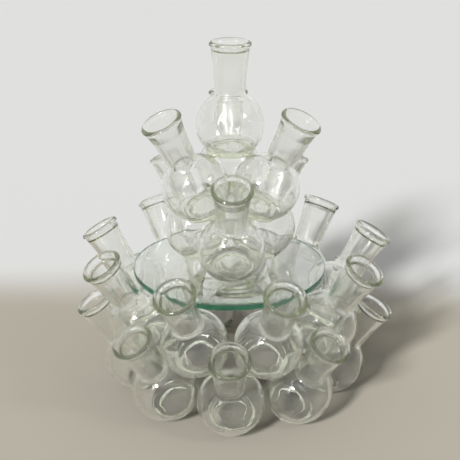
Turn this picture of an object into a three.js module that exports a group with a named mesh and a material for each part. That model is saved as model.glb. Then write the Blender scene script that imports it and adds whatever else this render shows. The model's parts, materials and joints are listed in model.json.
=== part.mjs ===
// A glass cluster vase: twenty-five small glass flasks in tiers, with a round glass plate between them.
// Nine flasks stand in a ring on the floor and nine more nest on their bulbs, all leaning outwards.
// The plate lies inside the necks of the second ring. Three flasks stand on it, three more nest on
// those, and one stands upright at the top. Small clear beads of cured adhesive join flask to flask.
// Millimetres, +Z up, front towards -Y, origin on the floor at the centre of the rings.
import * as THREE from 'three';

// One flask, measured from the centre of its bulb
const bulbRadius = 31.25;
const bulbWall = 2.8;
const baseDrop = 26.5;
const baseFlatRadius = 17.5;
const heelRadius = 4.5;
const heelFlatAngle = 15;
const baseThickness = 7;
const puntRadius = 13;
const puntDepth = 2.5;
const shoulderFlare = 1.3;
const shoulderRise = 4.2;
const innerShoulderFlare = 4.5;
const innerFloorRise = 3;
const neckWaistRadius = 13.6;
const neckTopRadius = 17.2;
const waistWall = 4.7;
const throatWall = 6.5;
const neckLength = 44;
const lipRadius = 18.9;
const lipDepth = 5;
const mouthRadius = 14.8;
const funnelDepth = 7.5;

// The two rings, which share one radius and sit half a step apart
const ringCount = 9;
const ringTilt = 31.5;
const ringGap = 3;
const neckGap = 0.8;

// The two trios above the plate, and the turn and shift with which they were set down on it
const trioCount = 3;
const lowerTrioTilt = 24;
const upperTrioTilt = 27;
const upperTurn = 3.8;
const upperShift = new THREE.Vector2(-4.5, -0.2);

// The plate
const plateThickness = 5;
const plateBevel = 0.6;
const plateNeckGap = 0.5;
const plateShift = new THREE.Vector2(-5.4, 2.4);

// Clearance between pieces that rest on each other, and the adhesive beads
const restClearance = 0.3;
const bondGap = 0.9;
const bondClearance = 0.2;
const bondRadius = 4.5;

// How finely the round shapes are cut, and how finely the resting places are searched
const flaskSides = 16;
const plateSides = 64;
const bondSides = 8;
const bulbSteps = 6;
const innerBulbSteps = 2;
const lipSteps = 3;
const measuredBulbSteps = 30;
const searchSteps = 40;
const surroundSteps = 72;
const edgeSteps = 8;

const rad = THREE.MathUtils.degToRad;

// Materials
const flaskGlass = new THREE.MeshStandardMaterial({ color: 0xdde4da, roughness: 0.05, metalness: 0 });
const plateGlass = new THREE.MeshStandardMaterial({ color: 0x3c735a, roughness: 0.04, metalness: 0 });
const curedAdhesive = new THREE.MeshStandardMaterial({ color: 0xe4e0b8, roughness: 0.15, metalness: 0 });

// Heights of the flask's own features above its bulb centre
const shoulderAngle = Math.acos((neckWaistRadius + shoulderFlare) / bulbRadius);
const waistHeight = bulbRadius * Math.sin(shoulderAngle) + shoulderRise;
const lipTop = waistHeight + neckLength;
const lipRound = (lipRadius - mouthRadius) / 2;
const heelTopAngle = -Math.atan2(baseDrop - heelRadius, baseFlatRadius + heelRadius);

// The flasks are cut with a flat side facing outwards, and a flat across the heel on which the floor
// ring stands level. A flat side lies nearer the flask's axis than the edges beside it, by this share.
const sideShare = Math.cos(Math.PI / flaskSides);
const heelAngle = Math.atan(sideShare * Math.tan(rad(ringTilt))) - Math.PI / 2;
const heelFrom = heelAngle - rad(heelFlatAngle);
const heelTo = heelAngle + rad(heelFlatAngle);

function arc(centreR, centreZ, radius, from, to, steps) {
  const points = [];
  for (let step = 0; step <= steps; step += 1) {
    const angle = from + (to - from) * step / steps;
    points.push(new THREE.Vector2(centreR + radius * Math.cos(angle), centreZ + radius * Math.sin(angle)));
  }
  return points;
}

// Outer outline of a flask, from the middle of its punt up to its shoulder, and on up to its lip
function bulbOutline(steps) {
  return [
    new THREE.Vector2(0, puntDepth - baseDrop),
    new THREE.Vector2(puntRadius, -baseDrop),
    new THREE.Vector2(baseFlatRadius, -baseDrop),
    ...arc(baseFlatRadius, heelRadius - baseDrop, heelRadius, heelFrom, heelTo, 1),
    ...arc(0, 0, bulbRadius, heelTopAngle, shoulderAngle, steps),
  ];
}

const neckOutline = [
  new THREE.Vector2(neckWaistRadius, waistHeight),
  new THREE.Vector2(neckTopRadius, lipTop - lipDepth),
  ...arc(mouthRadius + lipRound, lipTop - lipRound, lipRound, 0, Math.PI, lipSteps),
];
const bulb = bulbOutline(bulbSteps);
const outline = [...bulb, ...neckOutline];
const measuredOutline = [...bulbOutline(measuredBulbSteps), ...neckOutline];

// Inner outline, from the foot of the mouth's funnel down the bore to the middle of the floor inside
function innerOutline() {
  const innerRadius = bulbRadius - bulbWall;
  const boreRadius = neckWaistRadius - waistWall;
  const insideFloor = baseThickness - baseDrop;
  const topAngle = Math.acos((boreRadius + innerShoulderFlare) / innerRadius);
  const floorAngle = Math.asin((insideFloor + innerFloorRise) / innerRadius);
  return [
    new THREE.Vector2(neckTopRadius - throatWall, lipTop - funnelDepth),
    new THREE.Vector2(boreRadius, waistHeight),
    ...arc(0, 0, innerRadius, topAngle, floorAngle, innerBulbSteps),
    new THREE.Vector2(0, insideFloor),
  ];
}

// A closed profile of radius and height, turned about the Z axis, with a flat side facing the front
function turned(points, sides) {
  const geometry = new THREE.LatheGeometry(points, sides, Math.PI / sides);
  geometry.rotateX(Math.PI / 2);
  return geometry;
}

// A place for a flask: where its bulb centre is and which way its mouth points.
// Azimuth 0 is the front, and a positive azimuth goes towards +X.
function flaskPlace(azimuth, radius, height, tilt) {
  const outward = new THREE.Vector3(Math.sin(rad(azimuth)), -Math.cos(rad(azimuth)), 0);
  const sideways = new THREE.Vector3(Math.cos(rad(azimuth)), Math.sin(rad(azimuth)), 0);
  const axis = outward.clone().multiplyScalar(Math.sin(rad(tilt))).setZ(Math.cos(rad(tilt)));
  const centre = outward.multiplyScalar(radius).setZ(height);
  return { azimuth, tilt, centre, axis, sideways };
}

function ringPlaces(count, turn, radius, height, tilt) {
  const places = [];
  for (let index = 0; index < count; index += 1) {
    places.push(flaskPlace(turn + index * 360 / count, radius, height, tilt));
  }
  return places;
}

// How far a leaning flask reaches below its bulb centre, and how far its bulb reaches above it
function reachBelow(tilt) {
  const outward = sideShare * Math.sin(rad(tilt));
  return Math.max(...outline.map((point) => point.x * outward - point.y * Math.cos(rad(tilt))));
}

function bulbReachAbove(tilt) {
  const inward = sideShare * Math.sin(rad(tilt));
  return Math.max(...bulb.map((point) => point.x * inward + point.y * Math.cos(rad(tilt))));
}

// Nearest point of a flask's outside to a point in space, their distance, and the side it lies on
function nearestOn(place, point) {
  const offset = point.clone().sub(place.centre);
  const along = offset.dot(place.axis);
  const radial = offset.clone().addScaledVector(place.axis, -along);
  const spot = new THREE.Vector2(radial.length(), along);
  let distance = Infinity;
  let foot = null;
  let outside = true;
  for (let index = 1; index < measuredOutline.length; index += 1) {
    const start = measuredOutline[index - 1];
    const edge = measuredOutline[index].clone().sub(start);
    const share = THREE.MathUtils.clamp(spot.clone().sub(start).dot(edge) / edge.lengthSq(), 0, 1);
    const candidate = start.clone().addScaledVector(edge, share);
    if (candidate.distanceTo(spot) < distance) {
      distance = candidate.distanceTo(spot);
      foot = candidate;
    }
    const rise = (spot.y - start.y) / edge.y;
    if (rise >= 0 && rise < 1 && spot.x < start.x + edge.x * rise) outside = !outside;
  }
  const nearest = place.centre.clone().addScaledVector(place.axis, foot.y);
  nearest.addScaledVector(radial.normalize(), foot.x);
  return { nearest, distance, outside };
}

// Points all round the outside of a flask, along one of its outlines
function pointsRound(place, points) {
  const other = place.sideways.clone().cross(place.axis);
  const samples = [];
  for (let index = 1; index < points.length; index += 1) {
    for (let part = 0; part <= edgeSteps; part += 1) {
      const spot = points[index - 1].clone().lerp(points[index], part / edgeSteps);
      for (let step = 0; step < surroundSteps; step += 1) {
        const angle = step / surroundSteps * 2 * Math.PI;
        const sample = place.centre.clone().addScaledVector(place.axis, spot.y);
        sample.addScaledVector(place.sideways, spot.x * Math.cos(angle));
        samples.push(sample.addScaledVector(other, spot.x * Math.sin(angle)));
      }
    }
  }
  return samples;
}

// Gap between the bulb of one flask and the outside of another, and between two whole flasks
function bulbGap(bulbPlace, place) {
  return nearestOn(place, bulbPlace.centre).distance - bulbRadius;
}

function flaskGap(first, second) {
  const gaps = pointsRound(first, outline).map((sample) => {
    const { distance, outside } = nearestOn(second, sample);
    return outside ? distance : -distance;
  });
  return gaps.reduce((least, gap) => Math.min(least, gap), Infinity);
}

// Smallest value between two bounds from which a condition holds
function smallestWhere(low, high, holds) {
  let below = low;
  let above = high;
  for (let step = 0; step < searchSteps; step += 1) {
    const middle = (below + above) / 2;
    if (holds(middle)) above = middle;
    else below = middle;
  }
  return above;
}

// Height at which a flask rests on the bulbs of lower flasks, with room for the adhesive
function seatHeight(azimuth, radius, tilt, lowerPlaces) {
  const lowerHeight = lowerPlaces[0].centre.z;
  return smallestWhere(lowerHeight + bulbRadius / 2, lowerHeight + bulbRadius * 4, (height) => {
    const place = flaskPlace(azimuth, radius, height, tilt);
    return lowerPlaces.every((lower) => bulbGap(lower, place) >= bondGap);
  });
}

// Smallest radius at which the flasks of a ring keep a gap to their neighbours
function spacedRadius(count, tilt, gap) {
  return smallestWhere(bulbRadius / 2, bulbRadius * count, (radius) => {
    const [first, second] = ringPlaces(count, 0, radius, 0, tilt);
    return Math.min(bulbGap(first, second), flaskGap(first, second)) >= gap;
  });
}

// The rings: neighbours keep their gap, and the floor ring's necks clear the second ring's bulbs
const ringStep = 360 / ringCount;
const floorRingHeight = reachBelow(ringTilt);

// A flask of the second ring rests alike on two bulbs, so one of them is enough to find its height
function secondRingHeight(radius) {
  const lower = flaskPlace(ringStep / 2, radius, floorRingHeight, ringTilt);
  return seatHeight(0, radius, ringTilt, [lower]);
}

const closestRadius = spacedRadius(ringCount, ringTilt, ringGap);
const ringRadius = smallestWhere(closestRadius, bulbRadius * ringCount, (radius) => {
  const upper = flaskPlace(0, radius, secondRingHeight(radius), ringTilt);
  const lower = flaskPlace(ringStep / 2, radius, floorRingHeight, ringTilt);
  return bulbGap(upper, lower) >= neckGap;
});
const secondHeight = secondRingHeight(ringRadius);
const floorRing = ringPlaces(ringCount, 0, ringRadius, floorRingHeight, ringTilt);
const secondRing = ringPlaces(ringCount, ringStep / 2, ringRadius, secondHeight, ringTilt);

// The plate lies on the second ring's bulbs, and its edge stays inside the necks round it
const plateBottom = secondHeight + bulbReachAbove(ringTilt) + restClearance;
const plateTop = plateBottom + plateThickness;
const shoulderToNeck = [bulb.at(-1), ...neckOutline];
const neckReach = secondRing.map((place) => {
  const samples = pointsRound(place, shoulderToNeck);
  const beside = samples.filter((sample) => sample.z > plateBottom - restClearance && sample.z < plateTop);
  return Math.min(...beside.map((sample) => Math.hypot(sample.x - plateShift.x, sample.y - plateShift.y)));
});
const plateRadius = Math.min(...neckReach) - plateNeckGap;

// The trios and the top flask stand on the plate and on each other
const lowerTrioRadius = spacedRadius(trioCount, lowerTrioTilt, bondGap);
const upperTrioRadius = spacedRadius(trioCount, upperTrioTilt, bondGap);
const lowerTrioHeight = plateTop + restClearance + reachBelow(lowerTrioTilt);
const trioStep = 360 / trioCount;
const lowerTrio = ringPlaces(trioCount, 0, lowerTrioRadius, lowerTrioHeight, lowerTrioTilt);
const nextPair = [lowerTrio[0], lowerTrio[1]];
const upperTrioHeight = seatHeight(trioStep / 2, upperTrioRadius, upperTrioTilt, nextPair);
const upperTrio = ringPlaces(trioCount, trioStep / 2, upperTrioRadius, upperTrioHeight, upperTrioTilt);
const topFlask = flaskPlace(0, 0, seatHeight(0, 0, 0, upperTrio), 0);

// Meshes
const flaskGeometry = turned([...outline, ...innerOutline()], flaskSides);

function addFlask(group, name, place) {
  const flask = new THREE.Mesh(flaskGeometry, flaskGlass);
  flask.name = name;
  flask.position.copy(place.centre);
  flask.rotation.set(rad(place.tilt), 0, rad(place.azimuth), 'ZYX');
  group.add(flask);
}

function addFlasks(group, name, places) {
  places.forEach((place, index) => addFlask(group, `${name}_${index + 1}`, place));
}

// An adhesive bead fills most of the gap between a bulb and its neighbour. Its near face follows the
// bulb, and its far face follows the neighbour's bulb, or stays flat where it meets a base or heel.
function addBond(group, name, bulbPlace, neighbour, betweenBulbs) {
  const { nearest, distance } = nearestOn(neighbour, bulbPlace.centre);
  const direction = nearest.sub(bulbPlace.centre).normalize();
  const halfDepth = (distance - bulbRadius) / 2 - bondClearance;
  const faceRadius = bulbRadius + bondClearance;
  const hollow = faceRadius - Math.sqrt(faceRadius ** 2 - bondRadius ** 2);
  const farRim = betweenBulbs ? halfDepth + hollow : halfDepth;
  const profile = [
    new THREE.Vector2(0, -halfDepth),
    new THREE.Vector2(bondRadius, -halfDepth - hollow),
    new THREE.Vector2(bondRadius, farRim),
    new THREE.Vector2(0, halfDepth),
  ];
  const bead = new THREE.Mesh(turned(profile, bondSides), curedAdhesive);
  bead.name = name;
  bead.position.copy(bulbPlace.centre).addScaledVector(direction, (distance + bulbRadius) / 2);
  bead.quaternion.setFromUnitVectors(new THREE.Vector3(0, 0, 1), direction);
  group.add(bead);
}

// Each upper flask is bonded to every lower bulb that it rests on
function addSeatBonds(group, name, lowerPlaces, upperPlaces) {
  let count = 0;
  upperPlaces.forEach((upper, index) => {
    [index, index + 1].forEach((lowerIndex) => {
      count += 1;
      addBond(group, `${name}_${count}`, lowerPlaces[lowerIndex % lowerPlaces.length], upper, false);
    });
  });
}

// Each flask of a trio is bonded to the next one beside it
function addSideBonds(group, name, places) {
  places.forEach((place, index) => {
    addBond(group, `${name}_${index + 1}`, place, places[(index + 1) % places.length], true);
  });
}

function plateMesh() {
  const half = plateThickness / 2;
  const profile = [
    new THREE.Vector2(0, -half),
    new THREE.Vector2(plateRadius - plateBevel, -half),
    new THREE.Vector2(plateRadius, plateBevel - half),
    new THREE.Vector2(plateRadius, half - plateBevel),
    new THREE.Vector2(plateRadius - plateBevel, half),
    new THREE.Vector2(0, half),
  ];
  const plate = new THREE.Mesh(turned(profile, plateSides), plateGlass);
  plate.name = 'glass_plate';
  plate.position.set(plateShift.x, plateShift.y, plateBottom + half);
  return plate;
}

// Lower cluster: the two rings, bonded bulb to bulb
const lowerCluster = new THREE.Group();
addFlasks(lowerCluster, 'floor_ring_flask', floorRing);
addFlasks(lowerCluster, 'second_ring_flask', secondRing);
addSeatBonds(lowerCluster, 'ring_bond', floorRing, secondRing);

// Upper cluster: the two trios and the top flask
const upperCluster = new THREE.Group();
upperCluster.position.set(upperShift.x, upperShift.y, 0);
upperCluster.rotation.z = rad(upperTurn);
addFlasks(upperCluster, 'lower_trio_flask', lowerTrio);
addFlasks(upperCluster, 'upper_trio_flask', upperTrio);
addFlask(upperCluster, 'top_flask', topFlask);
addSideBonds(upperCluster, 'lower_trio_bond', lowerTrio);
addSeatBonds(upperCluster, 'trio_seat_bond', lowerTrio, upperTrio);
addSideBonds(upperCluster, 'upper_trio_bond', upperTrio);
upperTrio.forEach((place, index) => {
  addBond(upperCluster, `top_flask_bond_${index + 1}`, place, topFlask, false);
});

const clusterVase = new THREE.Group();
clusterVase.add(lowerCluster, plateMesh(), upperCluster);

export default clusterVase;
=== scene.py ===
# %% [markdown]
# # A cluster vase of small glass flasks
#
# The vase is built of glass and clear adhesive: twenty-five small flasks of one outer shape, one
# round plate, and the beads of adhesive that hold the flasks together. Nine flasks stand in a ring
# on the floor and nine more nest on them. The plate lies on those, and seven flasks are stacked on
# the plate.
#
# The construction comes from the CAD frame. It says where each flask stands and how large it is,
# and this script gives every piece its finished surface. Blender works in metres here, and a size
# is written in millimetres times MM.

import json
import math

import bpy
import numpy as np
from mathutils import Matrix, Vector


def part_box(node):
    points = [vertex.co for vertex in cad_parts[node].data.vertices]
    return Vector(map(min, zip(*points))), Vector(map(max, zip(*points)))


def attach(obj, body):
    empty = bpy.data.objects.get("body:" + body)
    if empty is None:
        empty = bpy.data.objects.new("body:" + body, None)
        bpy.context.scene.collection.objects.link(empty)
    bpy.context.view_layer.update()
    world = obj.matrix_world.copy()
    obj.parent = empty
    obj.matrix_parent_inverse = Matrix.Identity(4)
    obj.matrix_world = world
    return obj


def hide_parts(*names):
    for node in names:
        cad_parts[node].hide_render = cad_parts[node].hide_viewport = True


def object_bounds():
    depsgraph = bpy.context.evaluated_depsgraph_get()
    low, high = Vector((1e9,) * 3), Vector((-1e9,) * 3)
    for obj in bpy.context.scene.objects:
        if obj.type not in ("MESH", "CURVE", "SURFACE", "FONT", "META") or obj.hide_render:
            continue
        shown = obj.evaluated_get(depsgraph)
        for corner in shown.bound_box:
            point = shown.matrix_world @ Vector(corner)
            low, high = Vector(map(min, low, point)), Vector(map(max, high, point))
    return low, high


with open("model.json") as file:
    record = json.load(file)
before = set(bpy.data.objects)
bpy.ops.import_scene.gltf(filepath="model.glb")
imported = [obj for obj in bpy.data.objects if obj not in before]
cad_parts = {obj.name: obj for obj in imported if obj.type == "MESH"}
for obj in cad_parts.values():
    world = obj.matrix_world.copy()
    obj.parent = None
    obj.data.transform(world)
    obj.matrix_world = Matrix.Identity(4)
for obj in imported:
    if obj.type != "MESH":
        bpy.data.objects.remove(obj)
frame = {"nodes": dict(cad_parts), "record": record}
cad_low, cad_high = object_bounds()
cad_nodes = frame["nodes"]

MM = 0.001
print("CAD box, mm:", [round(size / MM, 1) for size in cad_high - cad_low])

# %% [markdown]
# ## Which piece is which
#
# On a bench the vase is a heap of flasks, one plate and some beads. The record says which finish
# each node has, and which body carries it. Lists of names could be typed here, but names that are
# read from the frame can't fall out of step with it.

# %% Sort the nodes by finish and by body
def nodes_with(slot):
    """The CAD nodes that have the named finish."""
    return [part["node"] for part in frame["record"]["subparts"] if part["material_slot"] == slot]


body_of_node = {}
for body, members in frame["record"]["behaviour"]["bodies"].items():
    for member in members:
        body_of_node[member] = body

flask_nodes = nodes_with("flask_glass")
plate_node = nodes_with("plate_glass")[0]
bead_nodes = nodes_with("adhesive")
print(len(flask_nodes), "flasks,", len(bead_nodes), "adhesive beads, plate:", plate_node)

# %% [markdown]
# ## Where a turned piece stands
#
# Each flask leans its own way, and its solid in the frame is already in its final place. The angles
# could be copied from the drawing, but they can be measured as well. A turned solid spreads equally
# in every direction across its axis, so of the three eigenvectors of its corners' covariance the
# odd one out is the axis. On a tall flask it has the largest spread, and on a flat bead the
# smallest.

# %% Measure a turned solid
# Two corners are one when they agree to a tenth of a micrometre.
CORNER_DIGITS = 7
SMALLEST, LARGEST = 0, 2


def corners_of(node):
    """The corners of a CAD solid, each of them once."""
    points = np.array([vertex.co for vertex in cad_nodes[node].data.vertices])
    return np.unique(np.round(points, CORNER_DIGITS), axis=0)


def measured(node, spread):
    """A solid's middle and axis, and each corner's height along the axis and distance from it."""
    points = corners_of(node)
    middle = points.mean(axis=0)
    directions = np.linalg.eigh(np.cov((points - middle).T))[1]
    axis = directions[:, spread]
    heights = (points - middle) @ axis
    across = np.linalg.norm(points - middle - np.outer(heights, axis), axis=1)
    return middle, axis, heights, across


def matrix_along(axis, origin):
    """A placement whose local Z runs along the axis."""
    turn = Vector(axis).to_track_quat("Z", "Y").to_matrix().to_4x4()
    return Matrix.Translation(Vector(origin)) @ turn


# %% Measure the flasks
def flask_place(node):
    """The middle of a flask's base, its axis, its height along that axis and its bulb's radius."""
    middle, axis, heights, across = measured(node, LARGEST)
    if axis[2] < 0:
        axis, heights = -axis, -heights
    return {
        "foot": middle + axis * heights.min(),
        "axis": axis,
        "height": heights.max() - heights.min(),
        "bulb_radius": across.max(),
    }


flask_places = {node: flask_place(node) for node in flask_nodes}
FLASK_HEIGHT = flask_places["top_flask"]["height"]
BULB_RADIUS = flask_places["top_flask"]["bulb_radius"]
print("flask height and bulb radius, mm:", round(FLASK_HEIGHT / MM, 2), round(BULB_RADIUS / MM, 2))

# %% [markdown]
# ## Arcs and rounded corners
#
# Blown and pressed glass has no sharp corner, because its surface melted. An outline could be drawn
# by hand, point by point. Arcs, and corners rounded by a formula, are a better choice here: they
# join with hardly a kink, and they still join when a size changes.

# %% Points on arcs and in corners
# A rounded corner takes less than half of each line beside it, so that two never overlap.
LARGEST_REACH = 0.49


def arc(centre, radius, start, end, steps):
    """Points on an arc, from a start angle to an end angle in degrees, both ends included."""
    angles = np.radians(np.linspace(start, end, steps + 1))
    return [(centre[0] + radius * math.cos(a), centre[1] + radius * math.sin(a)) for a in angles]


def rounded(corners, steps=6):
    """A line through corners given as (radius from axis, height, fillet), each of them rounded."""
    points = []
    for index, (across, up, fillet) in enumerate(corners):
        corner = Vector((across, up))
        if fillet == 0 or index in (0, len(corners) - 1):
            points.append(tuple(corner))
            continue
        before = Vector(corners[index - 1][:2]) - corner
        after = Vector(corners[index + 1][:2]) - corner
        half = before.angle(after) / 2
        room = min(before.length, after.length) * LARGEST_REACH
        reach = min(fillet / math.tan(half), room)
        start = corner + before.normalized() * reach
        end = corner + after.normalized() * reach
        # The corner becomes a parabola that touches both lines.
        for step in range(steps + 1):
            share = step / steps
            near = start.lerp(corner, share)
            far = corner.lerp(end, share)
            points.append(tuple(near.lerp(far, share)))
    return points


def tangent_fillet(sphere_radius, wall_radius, fillet):
    """Centre of an arc that leaves a sphere and runs into a wall, and the angle where it leaves."""
    across = wall_radius + fillet
    up = math.sqrt((sphere_radius + fillet) ** 2 - across**2)
    return (across, up), math.degrees(math.atan2(up, across))


# %% [markdown]
# ## The outside of a flask
#
# From the axis outwards and up, the outside is the punt (the hollow under the base), the heel, the
# bulb, a small hollow at the shoulder, a neck that widens gently, and the rolled lip. Heights are
# counted from the middle of the bulb. The punt could be a shallow dish, but this one is nearly flat
# in the middle and steep at its edge, because that edge works as a lens. It draws the bright loop
# that is seen inside each bulb.

# %% Sizes of the outside
BASE_DROP = 26.5 * MM
PUNT_RADIUS = 15.0 * MM
PUNT_DEPTH = 2.2 * MM
PUNT_STEEPNESS = 8
PUNT_POINTS = 16
FOOT_RADIUS = 17.5 * MM
HEEL_RADIUS = 4.5 * MM
HEEL_END_ANGLE = -18
BULB_START_ANGLE = -41
SHOULDER_FILLET = 4.2 * MM
WAIST_RADIUS = 13.6 * MM
NECK_START = 0.5 * MM
NECK_BEND_WIDENING = 0.45
NECK_BEND_HEIGHT = 0.72
NECK_CURVE = 20 * MM
NECK_TOP_RADIUS = 17.2 * MM
LIP_CREASE = 0.8 * MM
LIP_RADIUS = 18.9 * MM
LIP_CURVE = 2.5 * MM
LIP_DROP = 5.9 * MM
LIP_START_ANGLE = -55

LIP_TOP = FLASK_HEIGHT - BASE_DROP
print("lip above the middle of the bulb, mm:", round(LIP_TOP / MM, 2))


# %% Draw the outside
def punt_outline():
    """From the axis to the edge of the punt, with the points crowded towards the steep edge."""
    shares = np.sqrt(np.linspace(0, 1, PUNT_POINTS))
    return [(PUNT_RADIUS * t, PUNT_DEPTH * (1 - t**PUNT_STEEPNESS) - BASE_DROP) for t in shares]


def neck_outline(bottom, lip_start):
    """The neck, which leaves the shoulder upright and widens towards the crease under the lip."""
    bend_radius = WAIST_RADIUS + (NECK_TOP_RADIUS - WAIST_RADIUS) * NECK_BEND_WIDENING
    return rounded([
        (WAIST_RADIUS, bottom, 0),
        (bend_radius, LIP_TOP * NECK_BEND_HEIGHT, NECK_CURVE),
        (NECK_TOP_RADIUS, LIP_TOP - LIP_DROP, LIP_CREASE),
        lip_start + (0,),
    ])


def outer_outline():
    """The outside, from the axis under the base to the top of the lip."""
    heel_centre = (FOOT_RADIUS, HEEL_RADIUS - BASE_DROP)
    heel = arc(heel_centre, HEEL_RADIUS, -90, HEEL_END_ANGLE, steps=10)
    shoulder, leaving = tangent_fillet(BULB_RADIUS, WAIST_RADIUS, SHOULDER_FILLET)
    bulb = arc((0, 0), BULB_RADIUS, BULB_START_ANGLE, leaving, steps=44)
    hollow = arc(shoulder, SHOULDER_FILLET, leaving - 180, -180, steps=6)
    lip_centre = (LIP_RADIUS - LIP_CURVE, LIP_TOP - LIP_CURVE)
    lip = arc(lip_centre, LIP_CURVE, LIP_START_ANGLE, 90, steps=14)
    neck = neck_outline(shoulder[1] + NECK_START, lip[0])
    return punt_outline() + heel + bulb[1:] + hollow[1:] + neck + lip[1:]


# The first point lies on the axis and makes no ring.
OUTER_RINGS = len(outer_outline()) - 1
print("rings on the outside:", OUTER_RINGS)

# %% [markdown]
# ## The inside of a flask
#
# The wall could be made with a Solidify modifier, but real walls aren't even: the base is thick,
# the neck is thick, and the bulb is thin. The thickness matters more than anything else, because
# the lines that the eye reads as glass are the places where light runs along the inside of the
# wall. So the inside has an outline of its own, from the mouth down the bore and round the bulb to
# a raised floor. Pressed mouths also vary. The top flask has a cup with a ledge, the flasks of the
# two trios have a trumpet, and those of the two rings have a wide cup.

# %% Sizes of the inside
MOUTH_RADIUS = 14.8 * MM
MOUTH_CURVE = 1.6 * MM
CUP_DEPTH = 7.4 * MM
BORE_RADIUS = 9.6 * MM
BORE_START = 1.5 * MM
INNER_FILLET = 10.0 * MM
BULB_WALL = 2.8 * MM
BASE_THICKNESS = 7.0 * MM
FLOOR_ANGLE_GAP = 6
FLOOR_INSET = 0.6 * MM
FLOOR_FILLET = 0.9 * MM
FLOOR_RISE = 1.5 * MM
FLOOR_HEIGHT = BASE_THICKNESS - BASE_DROP

# Corners below the mouth as (radius from axis, depth under the lip, fillet), in millimetres.
MOUTH_SHAPES = {
    "stepped": [(14.7, 7.4, 1.4), (10.5, 7.8, 1.0)],
    "wide": [(14.5, 7.0, 1.5), (12.8, 8.5, 1.5)],
    "trumpet": [(14.6, 5.0, 6.0), (12.0, 15.0, 12.0)],
}

# The first word of a flask's name says which tier it belongs to.
MOUTH_OF_TIER = {
    "top": "stepped",
    "upper": "trumpet",
    "lower": "trumpet",
    "second": "wide",
    "floor": "wide",
}
print("kinds of mouth:", ", ".join(MOUTH_SHAPES))


# %% Draw the inside
def mouth_outline(mouth_shape, bore_bottom):
    """The inside of the lip, the cup below it and the bore."""
    mouth_centre = (MOUTH_RADIUS + MOUTH_CURVE, LIP_TOP - MOUTH_CURVE)
    mouth = arc(mouth_centre, MOUTH_CURVE, 90, 180, steps=8)
    cup = [
        (across * MM, LIP_TOP - depth * MM, fillet * MM)
        for across, depth, fillet in MOUTH_SHAPES[mouth_shape]
    ]
    return mouth[1:-1] + rounded([mouth[-1] + (0,)] + cup + [(BORE_RADIUS, bore_bottom, 0)])


def inner_outline(mouth_shape):
    """The inside, from the top of the lip to the axis on the floor of the bulb."""
    inner_radius = BULB_RADIUS - BULB_WALL
    shoulder, leaving = tangent_fillet(inner_radius, BORE_RADIUS, INNER_FILLET)
    bore = mouth_outline(mouth_shape, shoulder[1] + BORE_START)
    flare = arc(shoulder, INNER_FILLET, -180, leaving - 180, steps=8)
    floor_angle = math.degrees(math.asin(FLOOR_HEIGHT / inner_radius))
    bulb = arc((0, 0), inner_radius, leaving, floor_angle + FLOOR_ANGLE_GAP, steps=36)
    floor_reach = math.sqrt(inner_radius**2 - FLOOR_HEIGHT**2)
    floor = rounded([
        bulb[-1] + (0,),
        (floor_reach - FLOOR_INSET, FLOOR_HEIGHT, FLOOR_FILLET),
        (0, FLOOR_HEIGHT + FLOOR_RISE, 0),
    ])
    return bore + flare + bulb[1:-1] + floor


flask_outlines = {shape: outer_outline() + inner_outline(shape) for shape in MOUTH_SHAPES}
point_counts = {shape: len(outline) for shape, outline in flask_outlines.items()}
print("points on a whole outline:", point_counts)

# %% [markdown]
# ## Spinning an outline into a mesh
#
# A Screw modifier could spin the outline, but each flask should differ a little from the next, as
# hand-finished glass does. Making the rings of corners in numpy lets every ring be pushed in and
# out before the faces are made. The result is one closed wall, with air on both sides of the glass.

# %% Spin an outline
def spun_rings(outline, sides):
    """A ring of corners for each point of the outline but the two on the axis."""
    turns = np.linspace(0, 2 * math.pi, sides, endpoint=False)
    inner = np.array(outline[1:-1])
    rings = np.empty((len(inner), sides, 3))
    rings[:, :, 0] = inner[:, :1] * np.cos(turns)
    rings[:, :, 1] = inner[:, :1] * np.sin(turns)
    rings[:, :, 2] = inner[:, 1:]
    return rings


def spun_faces(ring_count, sides):
    """Triangles round each end on the axis, and quads between the rings."""
    first_end, last_end = ring_count * sides, ring_count * sides + 1
    last_ring = (ring_count - 1) * sides
    faces = []
    for side in range(sides):
        after = (side + 1) % sides
        faces.append((first_end, after, side))
        faces.append((last_end, last_ring + side, last_ring + after))
    for ring in range(ring_count - 1):
        low, high = ring * sides, (ring + 1) * sides
        for side in range(sides):
            after = (side + 1) % sides
            faces.append((low + side, low + after, high + after, high + side))
    return faces


def spun_mesh(name, outline, rings, crease_degrees=None, place=None):
    """A smooth closed mesh. Edges that turn by more than the crease angle stay sharp."""
    ends = np.array([[0, 0, outline[0][1]], [0, 0, outline[-1][1]]])
    corners = np.vstack([rings.reshape(-1, 3), ends])
    if place is not None:
        turn, shift = np.array(place.to_3x3()), np.array(place.translation)
        corners = corners @ turn.T + shift
    mesh = bpy.data.meshes.new(name)
    mesh.from_pydata(corners.tolist(), [], spun_faces(len(rings), rings.shape[1]))
    mesh.shade_smooth()
    if crease_degrees is not None:
        mesh.set_sharp_from_angle(angle=math.radians(crease_degrees))
    mesh.update()
    return mesh


# %% [markdown]
# ## What the maker's hand leaves
#
# Flasks of one mould still differ. The outside swells by up to a fifth of a millimetre and the
# inside by about twice that, the bore carries faint lengthwise streaks where it was drawn, and the
# edges of the punt and of the inner floor are lobed, by up to a millimetre. A Displace modifier
# could do this from a texture, but lip, heel and punt have to keep their heights, so the rings are
# pushed along their radius instead. These amounts hardly show as shapes, yet glass is a lens, so
# they are what makes its bright lines wander.

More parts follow.
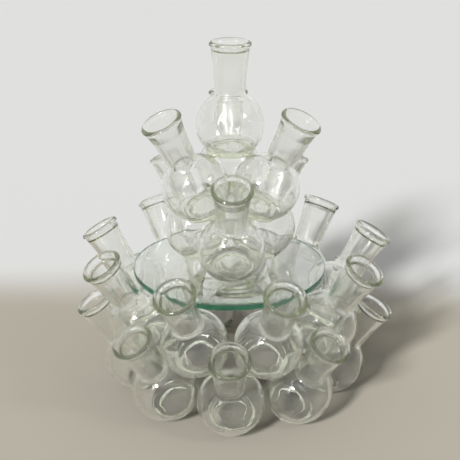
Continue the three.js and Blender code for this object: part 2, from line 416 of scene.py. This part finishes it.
# %% Amounts of unevenness
SWELL_DEPTH = 0.20 * MM
SWELL_LENGTH = 22 * MM
INNER_SWELL_DEPTH = 0.42 * MM
INNER_RIPPLE_DEPTH = 0.07 * MM
INNER_RIPPLE_LENGTH = 9 * MM
STREAK_DEPTH = 0.14 * MM
STREAKS_ROUND = (4, 7, 11)
STREAK_START = BULB_RADIUS * 0.8
STREAK_START_FADE = 10 * MM
STREAK_END_FADE = 3 * MM
LOBES_ROUND = 5
LOBE_DEPTH = 1.0 * MM
FLOOR_LOBE_REACH = 5 * MM
PUNT_LOBE_REACH = 3 * MM
# Swellings die away at the foot, so that it stands flat, and at the axis, where they would pinch.
HEEL_FADE = 6 * MM
STILL_RADIUS = BULB_RADIUS / 3


def faded(distance, width):
    """0 up to the start of a fade, and 1 beyond its width."""
    return np.clip(distance / width, 0, 1)


def nearness(distance, reach):
    """1 at a distance of 0, falling to 0 at the end of the reach."""
    return np.clip(1 - np.abs(distance) / reach, 0, 1)


# %% Waves round and through a flask
def smooth_waves(points, wavelength, random, count=6):
    """A smooth random field: a few plane waves in random directions, added up."""
    directions = random.normal(size=(count, 3))
    directions /= np.linalg.norm(directions, axis=1, keepdims=True)
    phases = random.uniform(0, 2 * math.pi, count)
    return np.sin(points @ directions.T * (2 * math.pi / wavelength) + phases).mean(axis=-1)


def round_waves(turns, counts, random):
    """Waves that run round the axis, as many as the counts say, each starting at a random place."""
    waves = np.zeros(turns.shape)
    for count in counts:
        waves += np.sin(count * turns + random.uniform(0, 2 * math.pi))
    return waves / len(counts)


def wall_swelling(rings, random):
    """How far each corner is swollen, outer wall and inner wall separately."""
    outer, inner = rings[:OUTER_RINGS], rings[OUTER_RINGS:]
    outer_push = smooth_waves(outer, SWELL_LENGTH, random) * SWELL_DEPTH
    inner_push = smooth_waves(inner, SWELL_LENGTH, random) * INNER_SWELL_DEPTH
    inner_push += smooth_waves(inner, INNER_RIPPLE_LENGTH, random) * INNER_RIPPLE_DEPTH
    return np.concatenate([outer_push, inner_push])


# %% Push the rings
def hand_finished(rings, random):
    """The rings with swellings in both walls, streaks in the bore and lobes at punt and floor."""
    across = np.hypot(rings[..., 0], rings[..., 1])
    turns = np.arctan2(rings[..., 1], rings[..., 0])
    heights = rings[..., 2]

    push = wall_swelling(rings, random)
    streaks = round_waves(turns, STREAKS_ROUND, random)
    lobes = round_waves(turns, (LOBES_ROUND,), random)

    in_bore = faded(heights - STREAK_START, STREAK_START_FADE)
    in_bore *= faded(LIP_TOP - CUP_DEPTH - heights, STREAK_END_FADE)
    in_bore[:OUTER_RINGS] = 0
    at_floor = nearness(heights - FLOOR_HEIGHT, FLOOR_LOBE_REACH)
    at_floor[:OUTER_RINGS] = 0
    push += lobes * at_floor * LOBE_DEPTH + streaks * in_bore * STREAK_DEPTH

    off_heel = faded(heights + BASE_DROP, HEEL_FADE)
    off_heel[OUTER_RINGS:] = 1
    off_axis = faded(across, STILL_RADIUS)
    at_punt = nearness(across - PUNT_RADIUS, PUNT_LOBE_REACH)
    at_punt[heights > PUNT_DEPTH - BASE_DROP] = 0
    moved = push * off_axis * off_heel + lobes * at_punt * LOBE_DEPTH

    pushed = rings.copy()
    pushed[..., :2] *= (1 + moved / np.maximum(across, MM))[..., np.newaxis]
    return pushed


# %% [markdown]
# ## Helpers for shader nodes
#
# A material is a tree of nodes. In the shader editor they are dragged out and joined by hand, and a
# script repeats the same steps: add a node, set its values, join its inputs. A few helpers do that,
# so that each material below reads as a short list of what feeds what.

# %% Add and join shader nodes
def add_node(tree, kind, inputs, **settings):
    """A new node. Each input takes a plain value, or the output of another node."""
    node = tree.nodes.new(kind)
    for name, value in settings.items():
        setattr(node, name, value)
    for name, value in inputs.items():
        if isinstance(value, bpy.types.NodeSocket):
            tree.links.new(value, node.inputs[name])
        else:
            node.inputs[name].default_value = value
    return node


def calculated(tree, operation, first, second=0.0):
    """One Math node on two numbers."""
    node = add_node(tree, "ShaderNodeMath", {0: first, 1: second}, operation=operation)
    return node.outputs["Value"]


def vector_calculated(tree, operation, first, second=(0, 0, 0)):
    """One Vector Math node. A length and a dot product are numbers, and the rest are vectors."""
    node = add_node(tree, "ShaderNodeVectorMath", {0: first, 1: second}, operation=operation)
    return node.outputs["Value" if operation in ("LENGTH", "DOT_PRODUCT") else "Vector"]


def ramp(tree, value, start, end, low=0.0, high=1.0, interpolation="LINEAR"):
    """From low, at the start, to high, at the end. The end may be the smaller value."""
    inputs = {"Value": value, "From Min": start, "From Max": end, "To Min": low, "To Max": high}
    step = add_node(tree, "ShaderNodeMapRange", inputs, interpolation_type=interpolation)
    return step.outputs["Result"]


def colours_mixed(tree, share, first, second):
    """From the first colour to the second as the share goes from 0 to 1."""
    inputs = {"Factor": share, "A": (*first, 1), "B": (*second, 1)}
    return add_node(tree, "ShaderNodeMix", inputs, data_type="RGBA").outputs["Result"]


def noise(tree, where, scale, detail):
    """The grey value of a noise texture."""
    inputs = {"Vector": where, "Scale": scale, "Detail": detail}
    return add_node(tree, "ShaderNodeTexNoise", inputs).outputs["Fac"]


# %% [markdown]
# ## The surface of handled glass
#
# A glass surface isn't perfect: it carries faint ripples, spots where drops of water have dried,
# and inside a narrow bore a haze that no brush reaches. They could be painted on an image, but
# noise in the shader needs no unwrapping and stays sharp from near by. Every glass here shares
# them, so they are one shader group with named inputs, placed in each material with its own values.
# It puts out only what changes over the surface: the height of the ripples and the roughness.

# %% A shader group for handled glass
RIPPLE_DETAIL = 2.0
WATER_DETAIL = 4.0
WATER_MARK_START = 0.55
WATER_MARK_FULL = 0.8

# The inputs of the group, with the values that hold until a material sets its own.
GLASS_HANDLING = {
    "Ripple Scale": 60.0,
    "Water Scale": 90.0,
    "Clean Roughness": 0.0,
    "Water Roughness": 0.05,
    "Haze": 0.0,
    "Haze Roughness": 0.2,
}


def new_group(name, inputs, outputs):
    """An empty shader group with number sockets, where the inputs have default values."""
    group = bpy.data.node_groups.new(name, "ShaderNodeTree")
    for title, default in inputs.items():
        socket = group.interface.new_socket(title, in_out="INPUT", socket_type="NodeSocketFloat")
        socket.default_value = default
    for title in outputs:
        group.interface.new_socket(title, in_out="OUTPUT", socket_type="NodeSocketFloat")
    return group


def handled_glass_group():
    """Puts out the height of faint ripples, and a roughness that rises with marks and haze."""
    group = new_group("handled_glass", GLASS_HANDLING, ["Ripple Height", "Roughness"])
    given = group.nodes.new("NodeGroupInput").outputs
    where = group.nodes.new("ShaderNodeTexCoord").outputs["Object"]
    ripple = noise(group, where, given["Ripple Scale"], RIPPLE_DETAIL)
    water = noise(group, where, given["Water Scale"], WATER_DETAIL)
    rough = (given["Clean Roughness"], given["Water Roughness"])
    marks = ramp(group, water, WATER_MARK_START, WATER_MARK_FULL, *rough)
    haze = calculated(group, "MULTIPLY", given["Haze"], given["Haze Roughness"])
    roughness = calculated(group, "MAXIMUM", marks, haze)
    add_node(group, "NodeGroupOutput", {"Ripple Height": ripple, "Roughness": roughness})
    return group


handled_glass = handled_glass_group()
print("group made:", handled_glass.name, "with", len(handled_glass.nodes), "nodes")

# %% [markdown]
# ## The shadow of glass
#
# A glass flask throws a pale shadow with a dark rim: light goes almost straight through a wall that
# faces the lamp, and is bent aside where the wall is seen edge-on. Tracing that bent light takes
# very many samples. So for shadow rays alone the glass is a transparent film that lets most light
# through face-on and less and less towards its edges, and every ray that makes the picture meets
# real glass.

# %% A film for shadow rays
FILM_FACE_ON = 0.90
FILM_EDGE_ON = 0.0
FILM_BLEND = 0.2


def shadow_film(tree):
    """A transparent shader, almost clear face-on and darker edge-on."""
    slant = add_node(tree, "ShaderNodeLayerWeight", {"Blend": FILM_BLEND}).outputs["Facing"]
    let_through = ramp(tree, slant, 0.0, 1.0, FILM_FACE_ON, FILM_EDGE_ON)
    return add_node(tree, "ShaderNodeBsdfTransparent", {"Color": let_through}).outputs["BSDF"]


# %% [markdown]
# ## The body of clear glass
#
# Glass has almost no colour of its own. What colour there is comes from the distance that light has
# travelled inside it, so the tint isn't painted on: it is an absorption in the volume. Thin walls
# stay clear, and the lip and the thick base turn olive by themselves. Two small amounts keep the
# glass from looking like empty air. A hundredth of it is left out of the clearness and scatters
# light, as fine scratches do, and a trace of sheen stands for the dust that settles on glass, which
# makes it a little milky where it is seen at a slant.

# %% A function that makes a glass
CLEARNESS = 0.99
DUST = 0.12
DUST_SPREAD = 0.4
GLASS_IOR = 1.52


def glass_material(name, kept, density, ripple_depth, handling, ior=GLASS_IOR):
    """Clear glass with an absorption: the higher a channel in kept, the less of it is lost."""
    material = bpy.data.materials.new(name)
    material.use_nodes = True
    tree = material.node_tree

    haze = add_node(tree, "ShaderNodeAttribute", {}, attribute_name="haze").outputs["Fac"]
    surface = add_node(tree, "ShaderNodeGroup", {"Haze": haze, **handling}, node_tree=handled_glass)
    ripples = {"Height": surface.outputs["Ripple Height"], "Distance": ripple_depth}
    bump = add_node(tree, "ShaderNodeBump", ripples)

    shader = tree.nodes["Principled BSDF"]
    shader.inputs["Base Color"].default_value = (1, 1, 1, 1)
    shader.inputs["Transmission Weight"].default_value = CLEARNESS
    shader.inputs["IOR"].default_value = ior
    shader.inputs["Sheen Weight"].default_value = DUST
    shader.inputs["Sheen Roughness"].default_value = DUST_SPREAD
    tree.links.new(surface.outputs["Roughness"], shader.inputs["Roughness"])
    tree.links.new(bump.outputs["Normal"], shader.inputs["Normal"])

    is_shadow = tree.nodes.new("ShaderNodeLightPath").outputs["Is Shadow Ray"]
    choice = {"Fac": is_shadow, 1: shader.outputs["BSDF"], 2: shadow_film(tree)}
    glass_or_film = add_node(tree, "ShaderNodeMixShader", choice)
    volume = add_node(tree, "ShaderNodeVolumeAbsorption", {"Color": (*kept, 1), "Density": density})
    result = tree.nodes["Material Output"]
    tree.links.new(glass_or_film.outputs["Shader"], result.inputs["Surface"])
    tree.links.new(volume.outputs["Volume"], result.inputs["Volume"])
    return material


# %% [markdown]
# ## Three kinds of glass
#
# The flasks are common bottle glass, with a little iron in it that leaves a yellow-green tint. The
# plate is float glass, which is flatter and greener. The adhesive cures clear and a little softer
# than glass, with a slightly lower index, and yellows with age. Each could be built by hand in the
# shader editor, but one function with three sets of values keeps them alike. The haze shows only on
# a mesh that has an attribute of that name, which the flasks' meshes get.

# %% Make the three glasses
flask_glass = glass_material(
    "flask_glass",
    kept=(0.48, 0.60, 0.12),
    density=8.5,
    ripple_depth=0.16 * MM,
    handling={
        "Ripple Scale": 60.0,
        "Water Scale": 90.0,
        "Water Roughness": 0.05,
        "Haze Roughness": 0.2,
    },
)
plate_glass = glass_material(
    "plate_glass",
    kept=(0.25, 0.62, 0.24),
    density=7.0,
    ripple_depth=0.01 * MM,
    handling={"Ripple Scale": 60.0, "Water Scale": 90.0, "Water Roughness": 0.05},
)
adhesive = glass_material(
    "cured_adhesive",
    kept=(0.85, 0.80, 0.30),
    density=50.0,
    ripple_depth=0.05 * MM,
    handling={"Ripple Scale": 60.0, "Water Scale": 90.0, "Water Roughness": 0.05},
    ior=1.49,
)
print("glasses made:", flask_glass.name, plate_glass.name, adhesive.name)

# %% [markdown]
# ## Putting a piece where its solid is
#
# Each finished mesh stands for one CAD solid and rides on the same body, so that the vase still
# comes apart as the real one does. These calls could stand in the making of each piece, but one
# function for all means that none of them can be forgotten.

# %% A function that sets a piece
def set_piece(name, mesh, node, location=(0, 0, 0)):
    """Put a finished mesh in the scene in place of a CAD node."""
    piece = bpy.data.objects.new(name, mesh)
    bpy.context.scene.collection.objects.link(piece)
    piece.location = location
    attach(piece, body_of_node[node])
    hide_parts(node)
    return piece


# %% [markdown]
# ## The flasks
#
# One mesh could be shared by all the flasks, as a linked duplicate. Here each flask gets a mesh of
# its own, with its own seed for the random swellings, so that no two catch the light alike and the
# same vase comes out each time. A leaning flask stands on the edge of its heel, where the glass is
# worn flat.

# %% Haze and wear
HAZE_TOP_FADE = 4 * MM
HAZE_START = BULB_RADIUS * 0.85
HAZE_START_FADE = 8 * MM


def haze_of(rings):
    """How hazy each corner is: all of the bore, fading out at both of its ends."""
    heights = rings[..., 2]
    haze = faded(LIP_TOP - CUP_DEPTH - heights, HAZE_TOP_FADE)
    haze *= faded(heights - HAZE_START, HAZE_START_FADE)
    haze[:OUTER_RINGS] = 0
    return haze


def wear_heel(mesh):
    """No part of a flask goes below the floor that it stands on."""
    for vertex in mesh.vertices:
        vertex.co.z = max(vertex.co.z, 0)


# %% Make the flasks
FLASK_SIDES = 96
FIRST_SEED = 100


def flask_piece(node, index):
    """One flask, set where its CAD solid stands."""
    place = flask_places[node]
    outline = flask_outlines[MOUTH_OF_TIER[node.split("_")[0]]]
    random = np.random.default_rng(FIRST_SEED + index)
    rings = hand_finished(spun_rings(outline, FLASK_SIDES), random)
    stand = matrix_along(place["axis"], place["foot"] + place["axis"] * BASE_DROP)
    mesh = spun_mesh(node + "_glass", outline, rings, place=stand)
    haze = mesh.attributes.new("haze", "FLOAT", "POINT")
    haze.data.foreach_set("value", np.append(haze_of(rings).ravel(), (0, 0)))
    wear_heel(mesh)
    mesh.materials.append(flask_glass)
    return set_piece(node + "_glass", mesh, node)


flasks = [flask_piece(node, index) for index, node in enumerate(flask_nodes)]
print("flasks made:", len(flasks), "with", len(flasks[0].data.vertices), "corners each")

# %% [markdown]
# ## The stained edge of the plate
#
# Looked at through its face, float glass is all but clear, while its edge shows the green of all
# the glass behind it. The absorption does a part of that, and a stain does the rest: a mask made
# from the distance to the axis turns the base colour to a deep blue-green in the outermost
# millimetre. It could be a material of its own on the faces of the edge, but a mask can fade in.

# %% Stain the edge
EDGE_STAIN = (0.05, 0.35, 0.27)
STAIN_START = 1.0 * MM
STAIN_FULL = 0.4 * MM


def stain_edge(material, radius):
    """Stain the outermost millimetre of a plate whose axis is its own Z."""
    tree = material.node_tree
    where = tree.nodes.new("ShaderNodeTexCoord").outputs["Object"]
    from_axis = vector_calculated(tree, "MULTIPLY", where, (1, 1, 0))
    distance = vector_calculated(tree, "LENGTH", from_axis)
    at_edge = ramp(tree, distance, radius - STAIN_START, radius - STAIN_FULL)
    colour = colours_mixed(tree, at_edge, (1, 1, 1), EDGE_STAIN)
    tree.links.new(colour, tree.nodes["Principled BSDF"].inputs["Base Color"])


# %% [markdown]
# ## The plate
#
# Float glass is cut to a disc, and its edge is ground and polished with a narrow bevel on each
# side. A cylinder with a Bevel modifier would look the same. Spinning an outline is as short here,
# since the functions for it are there, and it puts the bevel's points just where they are wanted.

# %% Make the plate
PLATE_SIDES = 256
PLATE_BEVEL = 0.6 * MM
BEVEL_FACE_FILLET = 0.15 * MM
BEVEL_EDGE_FILLET = 0.3 * MM
PLATE_CREASE = 18


def plate_outline(radius, half):
    """Half a section through the plate, from the axis below to the axis above."""
    below = [
        (0, -half, 0),
        (radius / 2, -half, 0),
        (radius - PLATE_BEVEL, -half, BEVEL_FACE_FILLET),
        (radius, PLATE_BEVEL - half, BEVEL_EDGE_FILLET),
    ]
    above = [(across, -up, fillet) for across, up, fillet in reversed(below)]
    return rounded(below + above, steps=3)


def plate_piece(node):
    """The plate, made about its own middle so that its edge can be found from its axis."""
    low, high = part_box(node)
    radius = (high.x - low.x) / 2
    outline = plate_outline(radius, (high.z - low.z) / 2)
    rings = spun_rings(outline, PLATE_SIDES)
    mesh = spun_mesh(node + "_float", outline, rings, crease_degrees=PLATE_CREASE)
    stain_edge(plate_glass, radius)
    mesh.materials.append(plate_glass)
    return set_piece(node + "_float", mesh, node, location=(low + high) / 2)


plate = plate_piece(plate_node)
print("plate made with", len(plate.data.vertices), "corners")

# %% [markdown]
# ## The adhesive beads
#
# Where two bulbs meet, a drop of clear adhesive was drawn between them before it cured, and surface
# tension gave it a hollow waist. Metaballs make such necks by themselves, but they don't stop at a
# curved wall. The CAD bead is a small disc with hollow faces whose axis joins the two bulbs, so the
# finished bead is spun about that axis, gets the waist and reaches into the glass.

# %% Make the beads
BEAD_SIDES = 40
BEAD_SINK = 0.35 * MM
BEAD_WAIST = 0.35 * MM
BEAD_WAIST_POINTS = 9
BEAD_FACE_SHARES = (0.3, 0.6, 0.85)
BEAD_RIM_SHARE = 0.9
BEAD_CREASE = 35


def bead_face(radius, middle, rim):
    """A hollow face from its middle almost to its rim, at the heights given for those two."""
    return [(0, middle)] + [(radius * t, middle + (rim - middle) * t * t) for t in BEAD_FACE_SHARES]


def bead_outline(radius, heights, at_rim):
    """Half a section through a bead, a little thicker than its solid and drawn in at the waist."""
    low_rim, high_rim = heights[at_rim].min() - BEAD_SINK, heights[at_rim].max() + BEAD_SINK
    low_middle, high_middle = heights[~at_rim].min() - BEAD_SINK, heights[~at_rim].max() + BEAD_SINK
    waist = []
    for share in np.linspace(0, 1, BEAD_WAIST_POINTS):
        hollow = math.sin(math.pi * share) * BEAD_WAIST
        waist.append((radius - hollow, low_rim * (1 - share) + high_rim * share))
    low_face = bead_face(radius, low_middle, low_rim)
    high_face = bead_face(radius, high_middle, high_rim)
    return low_face + waist + high_face[::-1]


def bead_piece(node):
    """One bead, set between the two bulbs that it joins."""
    middle, axis, heights, across = measured(node, SMALLEST)
    radius = across.max()
    outline = bead_outline(radius, heights, across > radius * BEAD_RIM_SHARE)
    rings = spun_rings(outline, BEAD_SIDES)
    place = matrix_along(axis, middle)
    mesh = spun_mesh(node + "_cured", outline, rings, crease_degrees=BEAD_CREASE, place=place)
    mesh.materials.append(adhesive)
    return set_piece(node + "_cured", mesh, node)


beads = [bead_piece(node) for node in bead_nodes]
print("beads made:", len(beads))

# %% [markdown]
# ## The floor
#
# Clear glass shows only its surroundings, so the picture is a matter of what stands round it. The
# floor is one large square. It is a warm grey where the vase stands and fades to off-white behind
# it, where it meets a sky of the same off-white. A curved backdrop would give the same soft
# horizon, but a fade in the colour needs no more geometry and can be put just where it belongs.

# %% Make the floor
OFF_WHITE = (0.76, 0.76, 0.745)
WARM_GREY = (0.50, 0.468, 0.390)
FLOOR_ROUGHNESS = 0.9
PATCH_MIDDLE = (0, -0.45, 0)
PATCH_SHAPE = (0.45, 1, 1)
PATCH_FADE_START = 0.60
PATCH_FADE_END = 0.73
FLOOR_REACH = 8.0


def floor_material():
    """Warm grey round the vase and in front of it, fading to off-white behind it and far away."""
    material = bpy.data.materials.new("pale_floor")
    material.use_nodes = True
    tree = material.node_tree
    where = tree.nodes.new("ShaderNodeTexCoord").outputs["Object"]
    from_middle = vector_calculated(tree, "SUBTRACT", where, PATCH_MIDDLE)
    shaped = vector_calculated(tree, "MULTIPLY", from_middle, PATCH_SHAPE)
    distance = vector_calculated(tree, "LENGTH", shaped)
    fade = ramp(tree, distance, PATCH_FADE_START, PATCH_FADE_END, interpolation="SMOOTHSTEP")
    shader = tree.nodes["Principled BSDF"]
    shader.inputs["Roughness"].default_value = FLOOR_ROUGHNESS
    shader.inputs["Specular IOR Level"].default_value = 0.0
    tree.links.new(colours_mixed(tree, fade, WARM_GREY, OFF_WHITE), shader.inputs["Base Color"])
    return material


floor_mesh = bpy.data.meshes.new("floor")
corner_signs = ((-1, -1), (1, -1), (1, 1), (-1, 1))
floor_corners = [(x * FLOOR_REACH, y * FLOOR_REACH, 0) for x, y in corner_signs]
floor_mesh.from_pydata(floor_corners, [], [(0, 1, 2, 3)])
floor_mesh.materials.append(floor_material())
floor = bpy.data.objects.new("floor", floor_mesh)
bpy.context.scene.collection.objects.link(floor)
print("floor made, metres across:", 2 * FLOOR_REACH)

# %% [markdown]
# ## The sky
#
# Glass is lit by what stands round it more than by lamps, so the sky has three jobs, told apart by
# the kind of ray. What lights the floor and the pieces is a plain, even white. What the camera sees
# past the vase is never less than a plain off-white. What is seen by way of the glass, bent or
# mirrored, is the same off-white, but dim in front of the vase, brighter above it, and with a tall
# bright strip at the front left. A camera that looks down on the vase has neither of the bright
# parts in view. The dim part draws the outlines, and the strip gives the small glints. An image of
# a studio could do the same, but these few nodes need no file.

# %% The parts of the sky
SKY_LIGHT = 0.28
FRONT_DIMMED = 0.15
FRONT_RAMP = (-0.2, 0.8)
ABOVE_STRENGTH = 1.3
ABOVE_RAMP = (0.2, 0.7)
STRIP_AZIMUTH = -38
STRIP_STRENGTH = 9.0
STRIP_SIDE_RAMP = (0.06, 0.03)
STRIP_FOOT_RAMP = (0.20, 0.26)
STRIP_TOP_RAMP = (0.80, 0.72)
STRIP_AHEAD_RAMP = (0.0, 0.1)


def product(tree, *values):
    """Several numbers multiplied."""
    result = values[0]
    for value in values[1:]:
        result = calculated(tree, "MULTIPLY", result, value)
    return result


def largest(tree, *values):
    """The largest of several numbers."""
    result = values[0]
    for value in values[1:]:
        result = calculated(tree, "MAXIMUM", result, value)
    return result


def smooth_ramp(tree, value, ends, low=0.0, high=1.0):
    """A ramp with soft ends."""
    return ramp(tree, value, ends[0], ends[1], low, high, interpolation="SMOOTHSTEP")


def bright_strip(tree, direction, up):
    """The strength of a tall bright strip at the front left, and 0 elsewhere."""
    turn = math.radians(STRIP_AZIMUTH)
    aside = vector_calculated(tree, "DOT_PRODUCT", direction, (math.cos(turn), math.sin(turn), 0))
    ahead = vector_calculated(tree, "DOT_PRODUCT", direction, (math.sin(turn), -math.cos(turn), 0))
    return product(
        tree,
        smooth_ramp(tree, calculated(tree, "ABSOLUTE", aside), STRIP_SIDE_RAMP),
        smooth_ramp(tree, ahead, STRIP_AHEAD_RAMP),
        smooth_ramp(tree, up, STRIP_FOOT_RAMP),
        smooth_ramp(tree, up, STRIP_TOP_RAMP),
        STRIP_STRENGTH,
    )


# %% Make the sky
def sky():
    """An even light, and a sky with dim and bright parts for what is seen, bent or mirrored."""
    world = bpy.data.worlds.new("studio")
    world.use_nodes = True
    tree = world.node_tree
    direction = tree.nodes.new("ShaderNodeTexCoord").outputs["Generated"]
    up = vector_calculated(tree, "DOT_PRODUCT", direction, (0, 0, 1))
    back = vector_calculated(tree, "DOT_PRODUCT", direction, (0, 1, 0))
    ray = tree.nodes.new("ShaderNodeLightPath").outputs
    strength = largest(
        tree,
        smooth_ramp(tree, up, ABOVE_RAMP, high=ABOVE_STRENGTH),
        smooth_ramp(tree, back, FRONT_RAMP, low=FRONT_DIMMED),
        bright_strip(tree, direction, up),
        ray["Is Camera Ray"],
    )
    lighting = tree.nodes["Background"]
    lighting.inputs["Color"].default_value = (1, 1, 1, 1)
    lighting.inputs["Strength"].default_value = SKY_LIGHT
    seen = add_node(tree, "ShaderNodeBackground", {"Color": (*OFF_WHITE, 1), "Strength": strength})
    shown = largest(tree, ray["Is Camera Ray"], ray["Is Glossy Ray"], ray["Is Transmission Ray"])
    choice = {"Fac": shown, 1: lighting.outputs["Background"], 2: seen.outputs["Background"]}
    mixed = add_node(tree, "ShaderNodeMixShader", choice)
    tree.links.new(mixed.outputs["Shader"], tree.nodes["World Output"].inputs["Surface"])
    return world


bpy.context.scene.world = sky()
print("sky made with", len(bpy.context.scene.world.node_tree.nodes), "nodes")

# %% [markdown]
# ## The lamps
#
# Two lamps far away, with wide discs for soft shadows: the key lamp at the front left gives the
# highlights and the shadow on the floor, and a weak fill lamp at the right keeps the shadow side
# open. Area lamps near the vase would show in the glass as bright squares.

# %% Place the lamps
def far_lamp(name, azimuth, height, strength, width):
    """A distant lamp, its angles in degrees. Azimuth 0 is the front, and positive is the right."""
    light = bpy.data.lights.new(name, "SUN")
    light.energy = strength
    light.angle = math.radians(width)
    lamp = bpy.data.objects.new(name, light)
    bpy.context.scene.collection.objects.link(lamp)
    turn, rise = math.radians(azimuth), math.radians(height)
    across = math.cos(rise)
    towards = Vector((across * math.sin(turn), -across * math.cos(turn), math.sin(rise)))
    lamp.rotation_euler = towards.to_track_quat("Z", "Y").to_euler()
    return lamp


key_lamp = far_lamp("key_lamp", azimuth=-28, height=30, strength=4.0, width=8)
fill_lamp = far_lamp("fill_lamp", azimuth=65, height=35, strength=0.35, width=10)
print("lamps:", key_lamp.name, fill_lamp.name)

# %% [markdown]
# ## The camera
#
# A camera could be placed by eye, but this place was found by fitting the centres of the mouths and
# bulbs to the photograph. It is a little under a metre from the middle of the vase and looks down
# by 22 degrees. The fit needs both near and far flasks, because how much smaller the far ones look
# is what fixes the distance.

# %% Place the camera
CAMERA_PLACE = (0.02877, -0.86713, 0.51335)
CAMERA_PITCH = 22.21
CAMERA_YAW = 2.21
CAMERA_LENS = 78.13
SENSOR_WIDTH = 36

camera_data = bpy.data.cameras.new("photo_camera")
camera_data.lens = CAMERA_LENS
camera_data.sensor_width = SENSOR_WIDTH
camera = bpy.data.objects.new("photo_camera", camera_data)
bpy.context.scene.collection.objects.link(camera)
camera.location = CAMERA_PLACE
camera.rotation_euler = (math.radians(90 - CAMERA_PITCH), 0, math.radians(CAMERA_YAW))
bpy.context.scene.camera = camera
camera_distance = (camera.location - (cad_low + cad_high) / 2).length
print("camera from the middle of the vase, metres:", round(camera_distance, 2))

# %% [markdown]
# ## Render settings that glass needs
#
# A ray that crosses the whole cluster meets dozens of glass faces, so the limits on bounces are
# raised well above the defaults. Otherwise the places with most glass would turn black. Light that
# glass focuses on the floor is left out, because the film for shadow rays stands in for it.

# %% Bounces and colour
GLASS_FACES = 64
MIRRORINGS = 24
FILM_FACES = 128

scene = bpy.context.scene
scene.cycles.max_bounces = GLASS_FACES
scene.cycles.transmission_bounces = GLASS_FACES
scene.cycles.glossy_bounces = MIRRORINGS
scene.cycles.transparent_max_bounces = FILM_FACES
scene.cycles.caustics_reflective = False
scene.cycles.caustics_refractive = False
scene.view_settings.view_transform = "Standard"
print("glass faces on one ray, at most:", GLASS_FACES)
